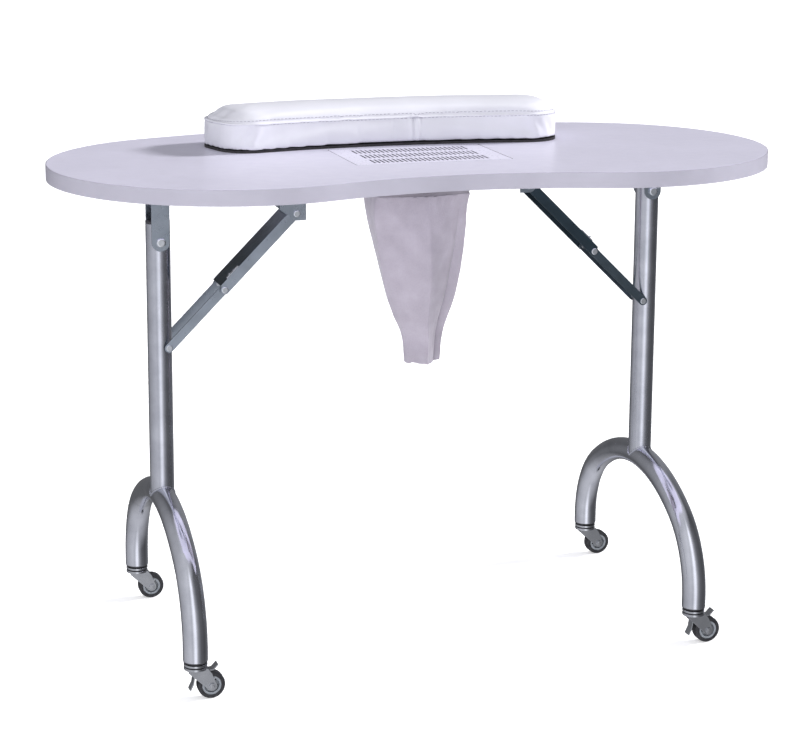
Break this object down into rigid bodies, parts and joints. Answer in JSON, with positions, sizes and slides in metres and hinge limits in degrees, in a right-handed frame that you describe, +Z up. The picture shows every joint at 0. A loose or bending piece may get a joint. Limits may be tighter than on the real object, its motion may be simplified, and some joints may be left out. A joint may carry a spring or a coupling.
{
  "type": "manicure table",
  "caption": "Folding kidney-shaped manicure table with a padded armrest, a flush dust vent over a fan and cloth bag, and two arched legs on swivel casters with folding braces.",
  "frame": {"origin": "on the floor, under the middle of the table top's box", "axes": "+X along the table to the right of the technician, +Y away from the technician, +Z up"},
  "size_m": [1.0758, 0.5669, 0.769],
  "materials": {
    "white_laminate": "satin",
    "edge_band_white": "satin",
    "white_plastic": "satin",
    "black_plastic": "satin",
    "white_vinyl": "gloss",
    "black_board": "matte",
    "satin_steel": "satin",
    "zinc_steel": "satin",
    "chrome": "polished",
    "rubber": "matte",
    "grey_nylon": "satin",
    "lilac_cloth": "matte"
  },
  "bodies": {
    "table": {"table_top": "white_laminate", "edge_band": "edge_band_white", "fan_housing": "black_plastic", "fan_frame": "black_plastic", "fan_motor": "black_plastic", "control_box": "black_plastic", "power_inlet": "black_plastic", "switch_pin": "zinc_steel", "left_leg_bracket": "zinc_steel", "right_leg_bracket": "zinc_steel", "left_brace_bracket": "zinc_steel", "right_brace_bracket": "zinc_steel", "brace_top_rivets": "zinc_steel", "leg_pivot_bolts": "zinc_steel", "underside_screws": "zinc_steel"},
    "grille": {"vent_grille": "white_plastic"},
    "fan": {"fan_impeller": "black_plastic"},
    "bag": {"bag_collar": "black_plastic", "dust_bag": "lilac_cloth"},
    "rocker": {"switch_rocker": "black_plastic"},
    "armrest": {"armrest_base": "black_board", "armrest_cushion": "white_vinyl"},
    "left_leg": {"left_post": "satin_steel", "left_post_cap": "black_plastic", "left_arch": "satin_steel", "left_foot_plugs": "black_plastic", "left_caster_stems": "chrome"},
    "left_upper_link": {"left_brace_upper": "zinc_steel", "left_brace_mid_rivets": "zinc_steel"},
    "left_lower_link": {"left_brace_lower": "zinc_steel", "left_brace_end_rivets": "zinc_steel"},
    "left_lock": {"left_brace_lock": "zinc_steel"},
    "left_front_caster": {"left_front_fork": "chrome", "left_front_axle": "chrome"},
    "left_front_wheel": {"left_front_wheel_hub": "grey_nylon", "left_front_tyre": "rubber"},
    "left_front_brake_lever": {"left_front_brake": "chrome"},
    "left_rear_caster": {"left_rear_fork": "chrome", "left_rear_axle": "chrome"},
    "left_rear_wheel": {"left_rear_wheel_hub": "grey_nylon", "left_rear_tyre": "rubber"},
    "right_leg": {"right_post": "satin_steel", "right_post_cap": "black_plastic", "right_arch": "satin_steel", "right_foot_plugs": "black_plastic", "right_caster_stems": "chrome"},
    "right_upper_link": {"right_brace_upper": "zinc_steel", "right_brace_mid_rivets": "zinc_steel"},
    "right_lower_link": {"right_brace_lower": "zinc_steel", "right_brace_end_rivets": "zinc_steel"},
    "right_lock": {"right_brace_lock": "zinc_steel"},
    "right_front_caster": {"right_front_fork": "chrome", "right_front_axle": "chrome"},
    "right_front_wheel": {"right_front_wheel_hub": "grey_nylon", "right_front_tyre": "rubber"},
    "right_front_brake_lever": {"right_front_brake": "chrome"},
    "right_rear_caster": {"right_rear_fork": "chrome", "right_rear_axle": "chrome"},
    "right_rear_wheel": {"right_rear_wheel_hub": "grey_nylon", "right_rear_tyre": "rubber"}
  },
  "joints": [
    {"name": "grille_lift", "type": "slide", "parent": "table", "child": "grille", "axis": [0, 0, 1], "range_m": [0, 0.04]},
    {"name": "fan_spin", "type": "hinge", "parent": "table", "child": "fan", "pos_m": [0, -0.04, 0.685], "axis": [0, 0, 1], "continuous": true},
    {"name": "bag_release", "type": "slide", "parent": "table", "child": "bag", "axis": [0, 0, -1], "range_m": [0, 0.014]},
    {"name": "switch_rock", "type": "hinge", "parent": "table", "child": "rocker", "pos_m": [0.162, -0.09, 0.679], "axis": [0, 1, 0], "range_deg": [0, 14]},
    {"name": "armrest_lift", "type": "slide", "parent": "table", "child": "armrest", "axis": [0, 0, 1], "range_m": [0, 0.1]},
    {"name": "left_leg_fold", "type": "hinge", "parent": "table", "child": "left_leg", "pos_m": [-0.3834, -0.02, 0.6095], "axis": [0, -1, 0], "range_deg": [0, 90]},
    {"name": "left_brace_swing", "type": "hinge", "parent": "table", "child": "left_upper_link", "pos_m": [-0.1864, -0.02, 0.6426], "axis": [0, -1, 0], "range_deg": [-53.72, 0.5]},
    {"name": "left_brace_break", "type": "hinge", "parent": "left_upper_link", "child": "left_lower_link", "pos_m": [-0.2923, -0.02, 0.53636], "axis": [0, -1, 0], "range_deg": [-0.5, 165.94]},
    {"name": "left_brace_release", "type": "slide", "parent": "left_upper_link", "child": "left_lock", "axis": [0.706, 0, 0.7082], "range_m": [0, 0.006], "stiffness_N_per_m": 60, "springref_m": -0.01},
    {"name": "left_front_swivel", "type": "hinge", "parent": "left_leg", "child": "left_front_caster", "pos_m": [-0.3834, -0.233, 0.0475], "axis": [0, 0, 1], "continuous": true},
    {"name": "left_front_roll", "type": "hinge", "parent": "left_front_caster", "child": "left_front_wheel", "pos_m": [-0.3624, -0.233, 0.0195], "axis": [0, 1, 0], "continuous": true},
    {"name": "left_front_brake_release", "type": "hinge", "parent": "left_front_caster", "child": "left_front_brake_lever", "pos_m": [-0.3794, -0.233, 0.0372], "axis": [0, -1, 0], "range_deg": [0, 5]},
    {"name": "left_rear_swivel", "type": "hinge", "parent": "left_leg", "child": "left_rear_caster", "pos_m": [-0.3834, 0.193, 0.0475], "axis": [0, 0, 1], "continuous": true},
    {"name": "left_rear_roll", "type": "hinge", "parent": "left_rear_caster", "child": "left_rear_wheel", "pos_m": [-0.3624, 0.193, 0.0195], "axis": [0, 1, 0], "continuous": true},
    {"name": "right_leg_fold", "type": "hinge", "parent": "table", "child": "right_leg", "pos_m": [0.3706, -0.02, 0.6495], "axis": [0, 1, 0], "range_deg": [0, 90], "deforming": ["dust_bag"]},
    {"name": "right_brace_swing", "type": "hinge", "parent": "table", "child": "right_upper_link", "pos_m": [0.1694, -0.02, 0.6674], "axis": [0, 1, 0], "range_deg": [-38.81, 0.5]},
    {"name": "right_brace_break", "type": "hinge", "parent": "right_upper_link", "child": "right_lower_link", "pos_m": [0.27653, -0.02, 0.5624], "axis": [0, 1, 0], "range_deg": [-0.5, 178.32]},
    {"name": "right_brace_release", "type": "slide", "parent": "right_upper_link", "child": "right_lock", "axis": [-0.7142, 0, 0.7], "range_m": [0, 0.006], "stiffness_N_per_m": 60, "springref_m": -0.01},
    {"name": "right_front_swivel", "type": "hinge", "parent": "right_leg", "child": "right_front_caster", "pos_m": [0.3706, -0.233, 0.0475], "axis": [0, 0, 1], "continuous": true},
    {"name": "right_front_roll", "type": "hinge", "parent": "right_front_caster", "child": "right_front_wheel", "pos_m": [0.3916, -0.233, 0.0195], "axis": [0, 1, 0], "continuous": true},
    {"name": "right_front_brake_release", "type": "hinge", "parent": "right_front_caster", "child": "right_front_brake_lever", "pos_m": [0.3746, -0.233, 0.0372], "axis": [0, -1, 0], "range_deg": [0, 5]},
    {"name": "right_rear_swivel", "type": "hinge", "parent": "right_leg", "child": "right_rear_caster", "pos_m": [0.3706, 0.193, 0.0475], "axis": [0, 0, 1], "continuous": true},
    {"name": "right_rear_roll", "type": "hinge", "parent": "right_rear_caster", "child": "right_rear_wheel", "pos_m": [0.3916, 0.193, 0.0195], "axis": [0, 1, 0], "continuous": true}
  ],
  "couplings": [
    {"joint": "left_brace_swing", "follows": "left_leg_fold", "ratio": -0.59135},
    {"joint": "left_brace_break", "follows": "left_leg_fold", "ratio": 1.8382},
    {"joint": "right_brace_swing", "follows": "right_leg_fold", "ratio": -0.42567},
    {"joint": "right_brace_break", "follows": "right_leg_fold", "ratio": 1.9758}
  ]
}
